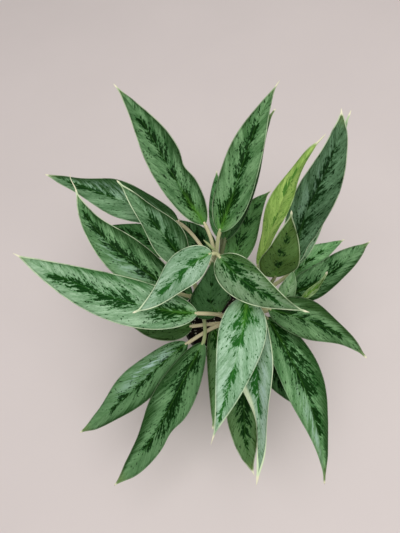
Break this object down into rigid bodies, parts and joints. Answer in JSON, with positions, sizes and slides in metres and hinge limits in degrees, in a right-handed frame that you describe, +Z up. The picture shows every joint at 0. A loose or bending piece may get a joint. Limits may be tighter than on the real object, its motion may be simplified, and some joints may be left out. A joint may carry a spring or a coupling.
{
  "type": "potted chinese evergreen",
  "caption": "Bushy house plant with long pointed silver and green leaves on pale stalks, standing in soil in a round black nursery pot.",
  "frame": {"origin": "middle of the pot's flat underside", "axes": "+Z up, +Y away from the side that the plant is mostly seen from, +X to the right"},
  "size_m": [0.4655, 0.5071, 0.35],
  "materials": {
    "pot_plastic": "satin black",
    "potting_soil": "dark crumbly soil",
    "shoot_skin": "smooth pale cream-green stalk",
    "silver_blade": "satin silver-green leaf with dark blotches along the rib",
    "green_blade": "satin mid-green leaf with dark blotches along the rib",
    "dark_blade": "satin dark bluish green leaf",
    "young_blade": "satin yellow-green young leaf"
  },
  "bodies": {
    "root": {"pot": "pot_plastic", "soil": "potting_soil", "shoot_a": "shoot_skin", "shoot_b": "shoot_skin", "shoot_c": "shoot_skin", "shoot_d": "shoot_skin", "shoot_e": "shoot_skin", "leaf_a1": "green_blade", "leaf_a2": "green_blade", "leaf_a3": "dark_blade", "leaf_a4": "dark_blade", "leaf_a5": "silver_blade", "leaf_a6": "silver_blade", "leaf_a7": "green_blade", "leaf_a8": "dark_blade", "leaf_b1": "dark_blade", "leaf_b2": "silver_blade", "leaf_b3": "dark_blade", "leaf_b4": "young_blade", "leaf_b5": "green_blade", "leaf_b6": "green_blade", "leaf_b7": "silver_blade", "leaf_c1": "silver_blade", "leaf_c2": "silver_blade", "leaf_c3": "green_blade", "leaf_c4": "green_blade", "leaf_c5": "dark_blade", "leaf_c6": "green_blade", "leaf_c7": "young_blade", "leaf_d1": "silver_blade", "leaf_d2": "dark_blade", "leaf_d3": "green_blade", "leaf_d4": "green_blade", "leaf_d5": "dark_blade", "leaf_e1": "green_blade", "leaf_e2": "green_blade", "leaf_e3": "dark_blade", "leaf_e4": "dark_blade", "leaf_e5": "green_blade", "leaf_e6": "dark_blade", "leaf_a_spear": "young_blade"}
  },
  "joints": []
}
